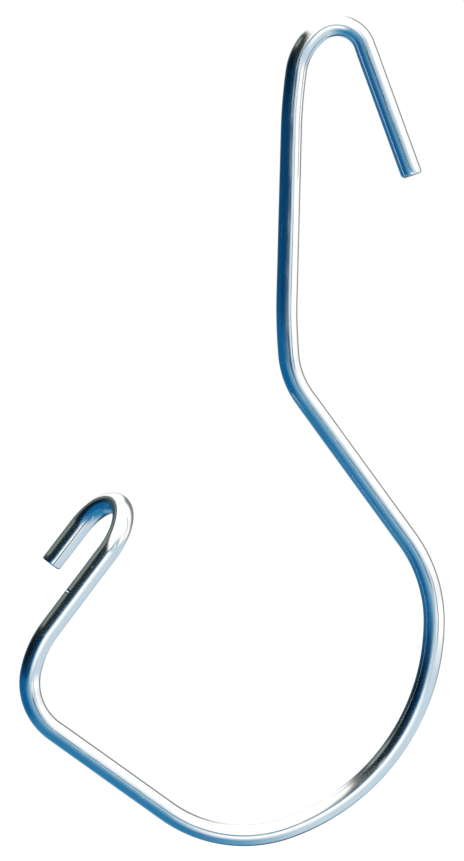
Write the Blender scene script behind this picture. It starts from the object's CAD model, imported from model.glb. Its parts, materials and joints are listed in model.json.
# %% [markdown]
# # A meat hook bent from one stainless bar
#
# The hook is a single round bar of stainless steel. A bender has turned its top into a small bend that hangs over
# a rail, its lower part into a wide bowl that carries the meat, and its other end into a round curl that leans to
# the back and keeps the meat from sliding off. There is no weld, screw or sleeve on it, so the whole lesson is
# about one bar: its bends, its two cut ends, and the look of drawn stainless steel.
#
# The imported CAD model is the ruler. Everything is in metres in its frame: Z is up, X runs across the open hook,
# Y runs from the front to the back, and the origin is under the top bend, where the rail touches.

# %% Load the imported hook
import json
from math import ceil, pi, radians

import bpy
import numpy as np
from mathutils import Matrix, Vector, noise


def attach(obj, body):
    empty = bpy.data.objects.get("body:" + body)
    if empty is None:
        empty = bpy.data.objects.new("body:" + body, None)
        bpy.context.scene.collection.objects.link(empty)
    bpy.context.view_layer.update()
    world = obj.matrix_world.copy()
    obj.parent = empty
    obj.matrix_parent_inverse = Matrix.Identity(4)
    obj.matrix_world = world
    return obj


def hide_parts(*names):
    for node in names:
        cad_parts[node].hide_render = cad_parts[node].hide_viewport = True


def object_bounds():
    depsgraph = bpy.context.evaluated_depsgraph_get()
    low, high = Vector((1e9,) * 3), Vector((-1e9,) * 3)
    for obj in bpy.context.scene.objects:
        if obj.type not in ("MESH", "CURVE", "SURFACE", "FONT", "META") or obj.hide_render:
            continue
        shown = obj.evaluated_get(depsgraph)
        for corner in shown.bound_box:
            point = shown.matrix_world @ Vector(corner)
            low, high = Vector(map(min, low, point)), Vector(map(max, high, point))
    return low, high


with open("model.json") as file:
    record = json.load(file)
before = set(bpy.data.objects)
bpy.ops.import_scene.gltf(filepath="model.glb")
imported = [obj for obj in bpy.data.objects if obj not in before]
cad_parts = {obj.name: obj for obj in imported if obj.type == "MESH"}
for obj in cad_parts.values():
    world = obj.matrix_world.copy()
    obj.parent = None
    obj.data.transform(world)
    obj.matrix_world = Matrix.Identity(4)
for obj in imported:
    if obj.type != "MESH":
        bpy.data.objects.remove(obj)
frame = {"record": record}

cad_low, cad_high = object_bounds()

# %% [markdown]
# ## The camera first
#
# A long lens stands well back, level with the middle of the hook and square to its flat side. A long lens keeps the
# bar the same width from top to bottom, as a catalogue picture does. The distance follows from the lens: a 36 mm
# sensor behind a 200 mm lens sees a field 0.18 times as tall as it is far away.

# %% Camera
lens_mm, sensor_mm = 200, 36
air_around = 1.036          # the picture is this many times as tall as the hook
middle = (cad_low + cad_high) / 2
picture_height = (cad_high.z - cad_low.z) * air_around
stand_off = picture_height * lens_mm / sensor_mm

camera = bpy.data.objects.new("camera", bpy.data.cameras.new("camera"))
bpy.context.scene.collection.objects.link(camera)
camera.data.lens, camera.data.sensor_width = lens_mm, sensor_mm
camera.location = (middle.x, -stand_off, middle.z)
camera.rotation_euler = (radians(90), 0, 0)
bpy.context.scene.camera = camera
print(f"camera {stand_off:.3f} m in front of the hook")

# %% [markdown]
# ## The bar's route, as the bender makes it
#
# A wire bender works from a short list: feed so much straight bar, turn so many degrees round a former of such a
# radius. The same list gives the middle line of the bar exactly. It could also be drawn as a Bezier curve with a
# round bevel, but then the bends would only be near enough, and nothing would know how far along the bar a point
# is. That distance matters here: the drawn lines in the steel have to follow it through every bend.
#
# All bends lie in one plane but the last. Just before the curl the bar is swung round in the bender, so that the
# curl leans to the back and its tip ends up behind the nose.
#
# Lengths and inside radii are in millimetres, turns in degrees, starting at the cut end beside the rail.

# %% The bender's list
MM = 0.001
LEFT, RIGHT = 1, -1
bar_radius = next(m["dims"]["r_mm"] for m in frame["record"]["mounts"] if m["name"] == "rail_end") * MM
curl_swing = radians(63.5)


def straight(length):
    """Bar fed through without a turn."""
    return length * MM, 0.0


def bend(side, inside_radius, degrees):
    """Bar turned round a former: its length along the middle, and how it curves."""
    middle_radius = inside_radius * MM + bar_radius
    return middle_radius * radians(degrees), side / middle_radius


bender_list = {
    "rail leg": straight(52.5),
    "seat, leg side": bend(LEFT, 7, 70),
    "seat, shank side": bend(LEFT, 7, 38),
    "shoulder": bend(LEFT, 19, 44),
    "lead in": bend(LEFT, 190, 6.5),
    "shank": straight(62.5),
    "lead out": bend(LEFT, 196, 6.5),
    "neck": bend(LEFT, 27.5, 31),
    "diagonal": straight(66),
    "bowl entry": bend(RIGHT, 48.5, 36.5),
    "bowl side": bend(RIGHT, 79, 69.5),
    "bowl floor": bend(RIGHT, 46, 55.5),
    "rise": straight(52),
    "heel": bend(RIGHT, 18, 65.5),
    "heel exit": bend(RIGHT, 35.5, 26),
    "nose": straight(33),
    "nose, swung": straight(3),
    "curl": bend(LEFT, 12.5, 179),
    "tip": straight(18),
}
names = list(bender_list)
lengths, curves = (np.array(column) for column in zip(*bender_list.values()))
starts = np.concatenate([[0], np.cumsum(lengths)])
bar_length = starts[-1]
begins = dict(zip(names, starts))
print(f"{len(names)} steps, {1000 * bar_length:.1f} mm of bar, {2000 * bar_radius:.1f} mm thick")

# %% [markdown]
# ## From the list to places in space
#
# Walking the list gives three facts at the start of each step: the place, the way the bar runs, and the direction
# to its left, which bends turn towards. Between those, a step is either straight or an arc, and one formula serves
# both: go along the chord, whose length is the walked length times sin(x)/x, with x half of the turn so far. For a
# straight step x is zero and the chord is the walk itself. The swing turns the left direction round the bar, and
# everything after it leans back by that much.
#
# The walk starts anywhere and is then slid so that the top of the seat lands where the CAD model has it, one bar
# radius above the rail.

# %% Walk along the bar
def walk(distance):
    """Middle of the bar, its way and its left at these distances from the rail end."""
    k = np.clip(np.searchsorted(starts, distance, side="right") - 1, 0, len(names) - 1)
    walked = distance - starts[k]
    half_turn = curves[k] * walked / 2

    def turned(angle):
        return np.cos(angle)[..., None] * ways[k] + np.sin(angle)[..., None] * lefts[k]

    chord = (walked * np.sinc(half_turn / pi))[..., None]
    return corners[k] + chord * turned(half_turn), turned(2 * half_turn), turned(2 * half_turn + pi / 2)


crown = begins["seat, shank side"]
first_way = radians(180) - np.sum((lengths * curves)[:names.index("seat, shank side")])
corners, ways, lefts = np.zeros((3, len(names) + 1, 3))
ways[0] = np.cos(first_way), 0, np.sin(first_way)
lefts[0] = -np.sin(first_way), 0, np.cos(first_way)
for k, name in enumerate(names):
    if name == "nose, swung":
        lefts[k] = np.cos(curl_swing) * lefts[k] + np.array([0, np.sin(curl_swing), 0])
    corners[k + 1:], ways[k + 1:], lefts[k + 1:] = walk(np.array([starts[k + 1] - 1e-12]))
corners += np.array([0, 0, bar_radius]) - corners[names.index("seat, shank side")]
print("way at the rail end:", np.round(ways[0], 3), "at the tip:", np.round(ways[-1], 3))


def round_the_bend(distance, turn):
    """Angle round the bar counted from the left, for an angle counted round the bar as it was before the swing."""
    return turn + curl_swing * (distance >= begins["nose, swung"])


# %% [markdown]
# ## What bending and handling do to a round bar
#
# A perfect tube looks like plastic tubing. A real bent bar is very slightly out of round: in a tight bend the steel
# on the outside stretches and the section flattens towards the middle of the turn, the former leaves a shallow
# pressed patch where a bend begins and ends, and the drawn bar has a faint wave from the die and the straightener.
# All of these are hundredths of a millimetre, far too little to change a size, but a mirror-like surface doubles
# every tilt, so they show in the reflections. They are made in the mesh, because shape belongs in geometry.
#
# One dent is bigger: a small nick across the nose, such as a knock against a rail leaves.

# %% Flattening in the bends
def smooth_step(low, high, value):
    t = np.clip((value - low) / (high - low), 0, 1)
    return t * t * (3 - 2 * t)


def tightness(distance):
    """Bar radius over bend radius, faded over a few millimetres where the bends meet."""
    reach = np.linspace(-2.5, 2.5, 11) * MM
    k = [np.clip(np.searchsorted(starts, distance + d, side="right") - 1, 0, len(names) - 1) for d in reach]
    return np.mean([curves[i] for i in k], 0) * bar_radius


flatten = 0.045             # share of the radius lost where bar radius and bend radius are equal
print("flattening in the seat:", round(1000 * bar_radius * flatten * tightness(np.array([crown]))[0], 3), "mm")

# %% Marks on the skin
nick_at = begins["nose"] + 15.6 * MM
nick_side = radians(30)     # measured round the bar, from the outside of the heel towards the front
former_marks = [            # where the former pressed, and its depth in mm; the inside of each bend
    ("seat, leg side", 1.0, 0.030), ("shoulder", 0.0, 0.022), ("neck", 0.0, 0.030), ("diagonal", 0.0, 0.024),
    ("heel", 1.0, 0.034), ("heel exit", 0.0, 0.024), ("curl", 1.0, 0.036), ("tip", -1.0, 0.030),
]


def bar_skin(distance, turn):
    """Distance of the skin from the middle line, at places along and round the bar."""
    skin = np.full(distance.shape, bar_radius)
    slow = 2 * pi * distance / MM
    skin += 0.010 * MM * np.cos(2 * turn + 0.9 * np.sin(slow / 83) + 1.1) * (1 + 0.5 * np.sin(slow / 37 + 0.8))
    skin += 0.006 * MM * np.cos(3 * turn + 1.6 * np.sin(slow / 59 + 2.0))
    skin += 0.004 * MM * np.sin(slow / 21 + 1.3 * np.sin(turn)) + 0.0025 * MM * np.cos(slow / 9.5 + 2 * turn)
    for name, offset, depth in former_marks:
        place = begins[name] + offset * MM
        inside = 0.0 if tightness(np.array([place]))[0] > 0 else pi
        off_side = np.angle(np.exp(1j * (round_the_bend(distance, turn) - inside)))
        skin -= depth * MM * np.exp(-((distance - place) / (1.6 * MM)) ** 2 - (off_side / 0.62) ** 2)
    along, across = (distance - nick_at) / (0.34 * MM), np.angle(np.exp(1j * (turn - nick_side))) / 0.27
    skin -= 0.17 * MM * np.exp(-np.abs(along) ** 2.4 - np.abs(across) ** 4)
    skin += 0.03 * MM * np.exp(-((np.abs(along) - 1.9) / 0.8) ** 2 - np.abs(across) ** 4)
    return skin


print(f"nick {1000 * nick_at:.1f} mm from the rail end, {len(former_marks)} former marks")

# %% [markdown]
# ## The two cut ends
#
# Both ends are cut square by a shear and then touched on a wheel. A shear leaves a smooth band where the blade cut,
# a rougher torn band where the bar let go, and a face that is slightly hollow. The wheel takes the burr off more on
# one side than on the other, so the rounding differs round the edge. The curl's end keeps one sharp corner.

# %% Rounding and face of a cut end
def rim_rounding(turn, least, most, softest_side):
    """Radius of the broken edge round a cut end."""
    return (least + (most - least) * (0.5 + 0.5 * np.cos(turn - softest_side)) ** 1.5) * MM


def cut_relief(across, up):
    """How far the sheared face lies behind its highest plane; across and up run from -1 to 1."""
    hollow = 0.05 * (1 - across ** 2 - up ** 2)
    torn = smooth_step(-0.05, 0.25, across + 0.12 * np.sin(5 * up)) * 0.07
    lumps = np.array([noise.noise(Vector((3.1 * a, 3.1 * b, 0.7))) for a, b in zip(across.flat, up.flat)])
    return (hollow + torn + 0.025 * lumps.reshape(across.shape) * (torn > 0.02)) * MM


ends = {
    "rail end": dict(face=0.0, inward=1, least=0.9, most=1.5, softest_side=radians(0)),
    "curl end": dict(face=bar_length, inward=-1, least=0.4, most=1.2, softest_side=radians(-127)),
}
around = 72
turns = 2 * pi * np.arange(around) / around


def end_rings(face, inward, least, most, softest_side):
    """Rings of a cut end from the middle of its face outwards: distance along the bar, share of the skin, cut."""
    rim = rim_rounding(turns, least, most, softest_side)
    rings = []
    for share in np.linspace(0.06, 1, 12):
        radius = (bar_radius - rim) * share
        relief = cut_relief(radius * np.cos(turns) / bar_radius, radius * np.sin(turns) / bar_radius)
        rings.append((face + inward * relief, radius / bar_radius, np.ones(around)))
    edge = relief
    for corner in np.radians(np.linspace(80, 0, 9)):
        back = rim * (1 - np.sin(corner)) + edge * np.sin(corner)
        share = 1 - rim * (1 - np.cos(corner)) / bar_radius
        rings.append((face + inward * back, share, np.full(around, corner / 3.5)))
    return rings


for name, shape in ends.items():
    print(name, "has", len(end_rings(**shape)), "rings")

# %% [markdown]
# ## Rings of points along the whole bar
#
# The bar is a stack of rings, one about every millimetre on the straights and one for each degree and a half in the
# bends, with closer rings at the nick. A curve object with a bevel would space its rings by curve resolution and
# could not carry the flattening, the marks and the ends. Rings in code can.

# %% Stack the rings
ring_step, ring_turn = 1.0 * MM, radians(1.5)
clear_of_end = 2.2 * MM
stops = [np.linspace(a, a + length, 1 + max(ceil(length / ring_step), ceil(abs(length * curve) / ring_turn)))[:-1]
         for a, length, curve in zip(starts, lengths, curves)]
stops.append(nick_at + np.linspace(-1.6, 1.6, 27) * MM)
stops = np.unique(np.round(np.concatenate(stops), 7))
stops = stops[(stops > clear_of_end) & (stops < bar_length - clear_of_end)]

rings = end_rings(**ends["rail end"])
rings += [(np.full(around, s), np.ones(around), np.zeros(around)) for s in stops]
rings += end_rings(**ends["curl end"])[::-1]
distance, share, cut = (np.array(column) for column in zip(*rings))
turn = np.broadcast_to(turns, distance.shape)
skin = bar_skin(distance, turn) * share
print(len(stops), "rings on the bar,", len(rings), "with the ends")

# %% Place the rings in space
place, way, left = walk(distance)
oval = flatten * tightness(distance)
local = round_the_bend(distance, turn)
toward_left = skin * np.cos(local) * (1 - np.abs(oval)) - np.abs(skin) * oval * 0.25
toward_side = skin * np.sin(local) * (1 + 0.5 * np.abs(oval))
bar_points = place + left * toward_left[..., None] + np.cross(way, left) * toward_side[..., None]
bar_unbent = np.stack([skin * np.cos(turn), skin * np.sin(turn), distance], -1)
reached = bar_points.reshape(-1, 3) * 1000
print("bar runs from", np.round(reached.min(0), 2), "to", np.round(reached.max(0), 2))

# %% [markdown]
# ## The mesh, and what it remembers
#
# Besides its points the mesh carries four facts for the steel to use. "unbent" is where each point was before
# bending, so a pattern drawn on it runs along the bar and follows the bends. "rubbed" says where a rail or a load
# polishes the bar. "cut" marks the sheared faces and their edges. "tight" says how hard the steel was bent. A UV map
# with its first direction round the bar tells the shader which way the fine drawn lines spread the light.

# %% Faces of the bar
count = len(rings)
point = np.arange(count * around).reshape(count, around)
nxt = np.roll(point, -1, 1)
quads = np.stack([point[:-1], nxt[:-1], nxt[1:], point[1:]], -1).reshape(-1, 4)
first, last = count * around, count * around + 1
faces = [(first, b, a) for a, b in zip(point[0], nxt[0])] + quads.tolist() + \
        [(last, a, b) for a, b in zip(point[-1], nxt[-1])]
middles = [bar_points[0].mean(0), bar_points[-1].mean(0)]
bar_mesh = bpy.data.meshes.new("bent_bar")
bar_mesh.from_pydata(np.concatenate([bar_points.reshape(-1, 3), middles]).tolist(), [], faces)
bar_mesh.shade_smooth()
bar_mesh.validate()
print(len(bar_mesh.vertices), "points,", len(bar_mesh.polygons), "faces")

# %% Where the hook is rubbed and bent
def remember(name, values, kind="FLOAT"):
    """Stores one value per point on the mesh, with the middle points of the two ends last."""
    values = np.concatenate([values.reshape(count * around, -1), values[[0, -1]].mean(1).reshape(2, -1)])
    field = "vector" if kind == "FLOAT_VECTOR" else "value"
    bar_mesh.attributes.new(name, kind, "POINT").data.foreach_set(field, values.astype(np.float32).ravel())
    return values


inside_of_bend = np.cos(local) * np.sign(tightness(distance))
rubbed_places = [(crown, 11, 0.9), (begins["bowl floor"] + 18 * MM, 48, 0.75), (begins["curl"] + 26 * MM, 12, 0.5)]
rubbed = sum(amount * np.exp(-((distance - at) / (reach * MM)) ** 2) for at, reach, amount in rubbed_places)
rubbed = rubbed * smooth_step(0.15, 0.95, inside_of_bend) * (1 - np.clip(3 * cut, 0, 1))
remember("unbent", bar_unbent, "FLOAT_VECTOR")
remember("rubbed", rubbed)
remember("cut", cut)
remember("tight", np.abs(tightness(distance)) * smooth_step(0.2, -0.9, inside_of_bend))
print("rubbed places:", len(rubbed_places), "most rubbed:", round(float(rubbed.max()), 2))

# %% UV map round and along the bar
uv = bar_mesh.uv_layers.new(name="round_and_along")
ring_no, side_no = np.divmod(quads, around)
side_no = side_no + (side_no == 0) * np.array([0, around, around, 0]) * (side_no[:, :1] == around - 1)
quad_uv = np.stack([side_no / around, distance[ring_no, quads % around] / bar_length], -1)
fan = np.tile([[0.5, 0.0], [1.0, 0.0], [0.0, 0.0]], (around, 1, 1))
uv.data.foreach_set("uv", np.concatenate([fan.ravel(), quad_uv.ravel(), fan.ravel()]).astype(np.float32))
bar = bpy.data.objects.new("bent_bar", bar_mesh)
bpy.context.scene.collection.objects.link(bar)
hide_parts("hook_rod")
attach(bar, "root")
print("the bent bar stands for the CAD solid hook_rod")

# %% [markdown]
# ## Drawn stainless steel
#
# The bar was pulled cold through a die. That leaves a bright, not quite mirror surface with fine lines along it, a
# few deeper die lines, and faint clouds where the pickling or the polish bit unevenly. On top of that come marks of
# use: hair scratches in all directions, and a burnished patch where the rail and the load rub.
#
# The steel is one metal shader. Colour hardly varies, as on real steel. Nearly all of the look is in the roughness
# and the bump, and both are drawn in the unbent coordinates. Anisotropy spreads the light round the bar, as the
# drawn lines do.

# %% A small kit for the steel's nodes
steel = bpy.data.materials.new("drawn_stainless")
steel.use_nodes = True
wires = steel.node_tree
shader = wires.nodes["Principled BSDF"]


def node(kind, **settings):
    made = wires.nodes.new(kind)
    for name, value in settings.items():
        setattr(made, name, value)
    return made


def plug(value, socket):
    """A number or colour is set on the socket, and anything else is wired to it."""
    if isinstance(value, bpy.types.NodeSocket):
        wires.links.new(value, socket)
    else:
        socket.default_value = value


def sums(operation, *values, clamp=False):
    made = node("ShaderNodeMath", operation=operation, use_clamp=clamp)
    for value, socket in zip(values, made.inputs):
        plug(value, socket)
    return made.outputs[0]


def remembered(name, vector=False):
    made = node("ShaderNodeAttribute", attribute_name=name)
    return made.outputs["Vector" if vector else "Fac"]


def spread(value, low, high, to_low=0.0, to_high=1.0):
    """Stretches the part of a pattern between low and high, with soft ends."""
    made = node("ShaderNodeMapRange", interpolation_type="SMOOTHSTEP")
    for given, socket in zip((value, low, high, to_low, to_high), made.inputs):
        plug(given, socket)
    return made.outputs["Result"]


print("steel material started:", steel.name)

# %% Patterns drawn on the unbent bar
unbent = remembered("unbent", vector=True)


def pattern(across_mm, along_mm, detail=2.0, uneven=0.5, shift=0.0):
    """Noise whose lumps are across_mm wide round the bar and along_mm long."""
    lumps = node("ShaderNodeVectorMath", operation="MULTIPLY_ADD")
    plug(unbent, lumps.inputs[0])
    plug((1 / (across_mm * MM), 1 / (across_mm * MM), 1 / (along_mm * MM)), lumps.inputs[1])
    plug((shift, -shift, 2 * shift), lumps.inputs[2])
    made = node("ShaderNodeTexNoise", noise_dimensions="3D")
    plug(lumps.outputs[0], made.inputs["Vector"])
    plug(1.0, made.inputs["Scale"])
    plug(detail, made.inputs["Detail"])
    plug(uneven, made.inputs["Roughness"])
    return made.outputs["Fac"]


hair_lines = pattern(0.16, 9, detail=3)
die_lines = pattern(0.62, 55, detail=1.5, shift=7)
clouds = pattern(3.4, 16, detail=3, shift=13)
draw_wave = pattern(2.2, 30, detail=1, shift=29)
print("patterns: hair lines, die lines, clouds, draw wave")

# %% Hair scratches and pits
def scratches(spacing_mm, slant, width, shift):
    """Scattered hair scratches: thin walls of a stretched cell pattern, kept only in patches."""
    turned = node("ShaderNodeMapping", vector_type="POINT")
    plug(unbent, turned.inputs["Vector"])
    plug(slant, turned.inputs["Rotation"])
    plug((1 / (spacing_mm * MM), 1 / (spacing_mm * MM), 0.16 / (spacing_mm * MM)), turned.inputs["Scale"])
    cells = node("ShaderNodeTexVoronoi", feature="DISTANCE_TO_EDGE")
    plug(turned.outputs[0], cells.inputs["Vector"])
    plug(1.0, cells.inputs["Scale"])
    line = spread(cells.outputs["Distance"], 0.0, width, 1.0, 0.0)
    patch = spread(pattern(5, 11, detail=1, shift=shift), 0.52, 0.66)
    return sums("MULTIPLY", line, patch)


hair_scratches = sums("MAXIMUM", scratches(2.6, (0.5, 0.35, 0.2), 0.022, 41),
                      scratches(3.4, (-0.7, 0.2, 0.9), 0.018, 53))
pits = spread(pattern(0.30, 0.42, detail=1, shift=61), 0.74, 0.82)
rub = remembered("rubbed")
cut_mark = remembered("cut")
tight = remembered("tight")
print("use: two sets of hair scratches, pits, rubbed patches")

# %% Saw and shear lines of the cut ends
split_unbent = node("ShaderNodeSeparateXYZ")
plug(unbent, split_unbent.inputs[0])
shear_wave = sums("SINE", sums("ADD", sums("MULTIPLY", split_unbent.outputs["Y"], 2 * pi / (0.42 * MM)),
                               sums("MULTIPLY", pattern(1.6, 5, detail=2, shift=71), 9.0)))
on_face = spread(cut_mark, 0.55, 0.95)
on_rim = sums("MULTIPLY", spread(cut_mark, 0.02, 0.15), sums("SUBTRACT", 1.0, on_face))
print("cut ends: shear lines 0.42 mm apart")

# %% [markdown]
# ### Roughness, colour and bump
#
# Clean drawn bar sits near a roughness of 0.15. The lines and clouds move it a little either way, rubbing brings it
# down, the stretched outside of a tight bend goes slightly matt, and the sheared faces are much rougher. The bump
# heights are real ones in metres: a hair line is a few thousandths of a millimetre deep.

# %% Roughness
rough = sums("MULTIPLY_ADD", hair_lines, 0.07, 0.060)
rough = sums("MULTIPLY_ADD", spread(die_lines, 0.3, 0.72), 0.05, rough)
rough = sums("MULTIPLY_ADD", spread(clouds, 0.35, 0.7), 0.045, rough)
rough = sums("MULTIPLY_ADD", hair_scratches, 0.12, rough)
rough = sums("MULTIPLY_ADD", tight, 0.10, rough)
rough = sums("MULTIPLY_ADD", rub, -0.055, rough)
rough = sums("MULTIPLY_ADD", on_rim, 0.06, rough)
rough = sums("MULTIPLY_ADD", on_face, 0.24, rough)
plug(sums("MAXIMUM", rough, 0.06), shader.inputs["Roughness"])
print("roughness from hair lines, die lines, clouds, scratches, rub, bends and cuts")

# %% Colour
def mix_paint(amount, under, over):
    made = node("ShaderNodeMix", data_type="RGBA")
    plug(amount, made.inputs["Factor"])
    plug(under, made.inputs[6])
    plug(over, made.inputs[7])
    return made.outputs[2]


bright_steel, line_steel = (0.815, 0.818, 0.822, 1), (0.70, 0.706, 0.715, 1)
warm_steel, pit_steel, sheared_steel = (0.80, 0.785, 0.762, 1), (0.42, 0.42, 0.43, 1), (0.60, 0.60, 0.605, 1)
colour = mix_paint(spread(hair_lines, 0.62, 0.38, 0.0, 0.45), bright_steel, line_steel)
colour = mix_paint(spread(clouds, 0.55, 0.8, 0.0, 0.4), colour, warm_steel)
colour = mix_paint(sums("MULTIPLY", pits, 0.5), colour, pit_steel)
colour = mix_paint(sums("MULTIPLY", on_face, sums("MULTIPLY_ADD", shear_wave, 0.12, 0.7)), colour, sheared_steel)
plug(colour, shader.inputs["Base Color"])
print("bright steel", bright_steel[:3], "line steel", line_steel[:3])

# %% Bump
def emboss(height, metres, under=None):
    made = node("ShaderNodeBump")
    plug(1.0, made.inputs["Strength"])
    plug(metres, made.inputs["Distance"])
    plug(height, made.inputs["Height"])
    if under is not None:
        plug(under, made.inputs["Normal"])
    return made.outputs[0]


kept = sums("MULTIPLY_ADD", rub, -0.6, 1.0)
surface = emboss(sums("MULTIPLY", hair_lines, kept), 0.004 * MM)
surface = emboss(sums("MULTIPLY", die_lines, kept), 0.013 * MM, surface)
surface = emboss(draw_wave, 0.035 * MM, surface)
surface = emboss(sums("MAXIMUM", hair_scratches, pits), -0.004 * MM, surface)
surface = emboss(sums("MULTIPLY", pattern(0.22, 0.22, detail=3, shift=83), tight), 0.02 * MM, surface)
surface = emboss(sums("MULTIPLY", shear_wave, on_face), 0.012 * MM, surface)
plug(surface, shader.inputs["Normal"])
print("bump: hair lines 4, die lines 13, wave 35, scratches 4, orange peel 20, shear lines 12 thousandths of a mm")

# %% Metal settings
round_the_bar = node("ShaderNodeTangent", direction_type="UV_MAP", uv_map="round_and_along")
plug(round_the_bar.outputs[0], shader.inputs["Tangent"])
shader.inputs["Metallic"].default_value = 1.0
shader.inputs["Anisotropic"].default_value = 0.35
bar_mesh.materials.append(steel)
print("metal, anisotropy", round(shader.inputs["Anisotropic"].default_value, 2))

# %% [markdown]
# ## Floor
#
# A wide pale floor lies just under the hook, far enough that nothing touches it. It is a plain disc in rings, so the
# soft shadow has room on all sides. It is not shown to the steel's reflections: the studio round the hook is
# described in one place, in the next step.

# %% Pale floor
floor_level = cad_low.z - 0.03
floor_rings, floor_sides, floor_radius = 6, 96, 5.0
disc = [(middle.x, middle.y, floor_level)]
for ring in range(1, floor_rings + 1):
    for side in range(floor_sides):
        way, out = 2 * pi * side / floor_sides, floor_radius * ring / floor_rings
        disc.append((middle.x + out * np.cos(way), middle.y + out * np.sin(way), floor_level))
tiles = [(0, 1 + s, 1 + (s + 1) % floor_sides) for s in range(floor_sides)]
for ring in range(floor_rings - 1):
    a, b = 1 + ring * floor_sides, 1 + (ring + 1) * floor_sides
    tiles += [(a + s, b + s, b + (s + 1) % floor_sides, a + (s + 1) % floor_sides) for s in range(floor_sides)]
floor_mesh = bpy.data.meshes.new("pale_floor")
floor_mesh.from_pydata(disc, [], tiles)
floor = bpy.data.objects.new("pale_floor", floor_mesh)
bpy.context.scene.collection.objects.link(floor)
floor.visible_glossy = False

floor_paint = bpy.data.materials.new("pale_floor")
floor_paint.use_nodes = True
floor_paint.node_tree.nodes["Principled BSDF"].inputs["Base Color"].default_value = (0.9, 0.9, 0.9, 1)
floor_paint.node_tree.nodes["Principled BSDF"].inputs["Roughness"].default_value = 1.0
floor_paint.node_tree.nodes["Principled BSDF"].inputs["Specular IOR Level"].default_value = 0.0
floor_mesh.materials.append(floor_paint)
print(f"floor {1000 * (cad_low.z - floor_level):.0f} mm under the hook, {2 * floor_radius:.0f} m wide")

# %% [markdown]
# ## The studio
#
# Polished metal has no look of its own: it shows its surroundings. This studio is a white tent above and to the
# right, a black flag at the upper left with a grey card beside it, blue cloth down the left and under the hook, and
# a pale wall at the lower right. A round bar sees all of it in a narrow strip, so one side of every leg is white and
# the other blue or black, and the bands swap as the bar turns.
#
# Real cards could stand round the hook, each an object with a glowing face. Here the surroundings are drawn in the
# world shader as three rings of paint, one on the camera's side, one level with the hook and one behind it. The
# direction of a ray gives an angle round the picture and an angle away from the camera, and those two look up the
# paint. Only the steel's reflections see the rings. The camera sees plain white, and the floor is lit by soft white.

# %% Paints of the studio
def paint(r, g, b, strength=1.0):
    """Display values 0 to 255 as light, made up for what the steel swallows."""
    values = [c / 255 for c in (r, g, b)]
    light = [v / 12.92 if v <= 0.04045 else ((v + 0.055) / 1.055) ** 2.4 for v in values]
    return [strength * v / 0.8 for v in light] + [1]


white_tent = paint(255, 254, 249, 1.15)
dim_tent = paint(243, 246, 246)
pale_wall = paint(224, 235, 241)
haze_wall = paint(194, 213, 224)
cool_wall = paint(150, 187, 208)
light_cloth = paint(100, 156, 188)
blue_cloth = paint(46, 120, 166)
deep_cloth = paint(16, 92, 146)
navy_cloth = paint(6, 58, 98)
night_cloth = paint(7, 26, 38)
black_flag = paint(26, 38, 42)
grey_flag = paint(94, 105, 102)
card_grey = paint(124, 136, 130)
slate_card = paint(58, 74, 82)
dusk_cloth = paint(36, 78, 106)
edge_grey = paint(118, 124, 128)
print("16 paints; the brightest is", round(white_tent[0], 2))

# %% Rings of paint: degrees round the picture, from the right through the top
front_ring = [
    (0, pale_wall), (10, cool_wall), (35, cool_wall), (52, pale_wall), (66, white_tent), (125, white_tent),
    (131, grey_flag), (138, black_flag), (150, black_flag), (163, navy_cloth), (178, dusk_cloth),
    (192, light_cloth), (240, light_cloth), (247, cool_wall), (257, white_tent), (330, white_tent),
    (337, haze_wall), (345, cool_wall), (354, pale_wall), (360, pale_wall),
]
level_ring = [
    (0, white_tent), (8, dim_tent), (40, white_tent), (130, white_tent), (134, black_flag), (150, black_flag),
    (157, night_cloth), (167, night_cloth), (174, navy_cloth), (181, deep_cloth),
    (208, deep_cloth), (220, blue_cloth), (250, blue_cloth), (270, light_cloth), (294, haze_wall),
    (344, haze_wall), (352, dim_tent), (356, white_tent), (360, white_tent),
]
rear_ring = [
    (0, edge_grey), (66, edge_grey), (84, white_tent), (129, white_tent), (135, grey_flag), (160, slate_card),
    (174, dusk_cloth), (204, blue_cloth), (240, light_cloth), (268, dusk_cloth), (292, slate_card),
    (310, cool_wall), (330, haze_wall), (350, edge_grey), (360, edge_grey),
]
print("stops per ring:", len(front_ring), len(level_ring), len(rear_ring))

# %% World shader
world = bpy.data.worlds.new("studio")
bpy.context.scene.world = world
world.use_nodes = True
world.cycles.sampling_method = "NONE"     # the rings are found by the steel's own reflections
wires = world.node_tree
wires.nodes.clear()

direction = node("ShaderNodeSeparateXYZ")
plug(node("ShaderNodeTexCoord").outputs["Generated"], direction.inputs[0])
round_picture = sums("ARCTAN2", direction.outputs["Z"], direction.outputs["X"])
round_picture = sums("FRACT", sums("ADD", sums("DIVIDE", round_picture, 2 * pi), 1.0))
off_camera = sums("DIVIDE", sums("ARCCOSINE", sums("MULTIPLY", direction.outputs["Y"], -1.0)), pi / 180)


def ring_of_paint(stops):
    made = node("ShaderNodeValToRGB")
    slots = made.color_ramp.elements
    while len(slots) < len(stops):
        slots.new(0.5)
    for k, (degrees, colour) in enumerate(stops):
        slots[k].position = degrees / 360
    for slot, (degrees, colour) in zip(slots, stops):
        slot.color = colour
    plug(round_picture, made.inputs[0])
    return made.outputs[0]


surroundings = mix_paint(spread(off_camera, 15, 58), ring_of_paint(front_ring), ring_of_paint(level_ring))
surroundings = mix_paint(spread(off_camera, 112, 134), surroundings, ring_of_paint(rear_ring))
surroundings = mix_paint(spread(off_camera, 150, 170), surroundings, edge_grey)
surroundings = mix_paint(spread(off_camera, 12, 4), surroundings, cool_wall)
print("three rings of paint, with one calm patch straight in front and one straight behind")

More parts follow.
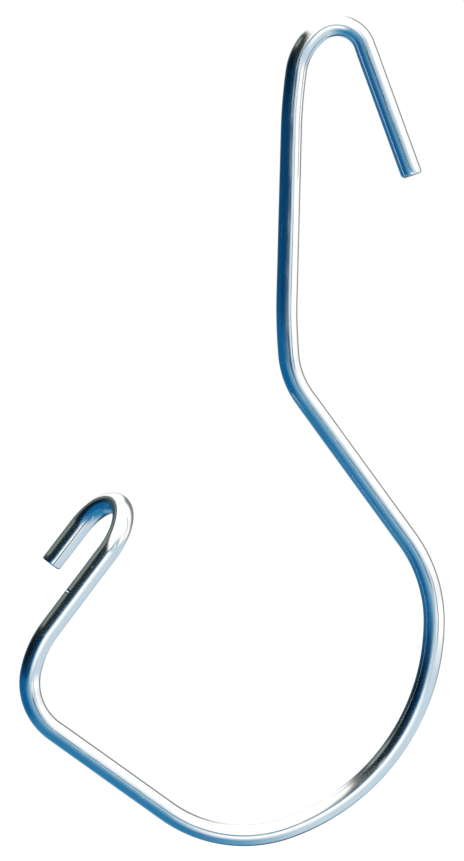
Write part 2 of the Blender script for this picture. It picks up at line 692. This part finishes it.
# %% A dark shelf edge, a stand and a grey card
shelf_height, shelf_end, stand_at = 0.045, 0.34, 0.70      # as sines of the angle up and to the right
card_low, card_high = 137, 149                             # degrees round the picture, on the black flag's far part
height_off = sums("ABSOLUTE", sums("SUBTRACT", direction.outputs["Z"], shelf_height))
in_front = spread(off_camera, 75, 55)
shelf = sums("MULTIPLY", spread(height_off, 0.050, 0.030),
             spread(direction.outputs["X"], shelf_end + 0.03, shelf_end - 0.03))
stand = sums("MULTIPLY", spread(sums("ABSOLUTE", sums("SUBTRACT", direction.outputs["X"], stand_at)), 0.055, 0.025),
             spread(height_off, 0.20, 0.12))
surroundings = mix_paint(sums("MULTIPLY", shelf, in_front), surroundings, navy_cloth)
surroundings = mix_paint(sums("MULTIPLY", stand, in_front), surroundings, black_flag)
degrees_round = sums("MULTIPLY", round_picture, 360.0)
card = sums("MULTIPLY", spread(degrees_round, card_low, card_low + 3), spread(degrees_round, card_high, card_high - 3))
card = sums("MULTIPLY", card, sums("MULTIPLY", spread(off_camera, 72, 80), spread(off_camera, 134, 120)))
surroundings = mix_paint(card, surroundings, card_grey)
print("shelf edge, stand and grey card drawn")

# %% Who sees what
ray = node("ShaderNodeLightPath")
soft_white = 0.86
light_on_floor = mix_paint(ray.outputs["Is Glossy Ray"], (soft_white, soft_white, soft_white, 1), surroundings)
seen = mix_paint(ray.outputs["Is Camera Ray"], light_on_floor, (1, 1, 1, 1))
glow = node("ShaderNodeBackground")
plug(seen, glow.inputs["Color"])
plug(glow.outputs[0], node("ShaderNodeOutputWorld").inputs["Surface"])
print("camera: white; steel: rings; floor: soft white", soft_white)

# %% [markdown]
# ## One soft lamp for the shadow
#
# A large lamp high in front gives the floor a soft shadow of the hook, which shows from above. It is a sun lamp a
# few degrees across, so the floor is equally bright everywhere. The steel doesn't mirror it.

# %% Soft lamp
lamp = bpy.data.objects.new("soft_lamp", bpy.data.lights.new("soft_lamp", "SUN"))
bpy.context.scene.collection.objects.link(lamp)
lamp.data.energy = 1.15
lamp.data.angle = radians(9)
lamp.rotation_euler = (radians(32), radians(-14), 0)
lamp.visible_glossy = False

colours = bpy.context.scene.view_settings
colours.view_transform, colours.look, colours.exposure, colours.gamma = "Standard", "None", 0, 1
print("lamp strength", lamp.data.energy)
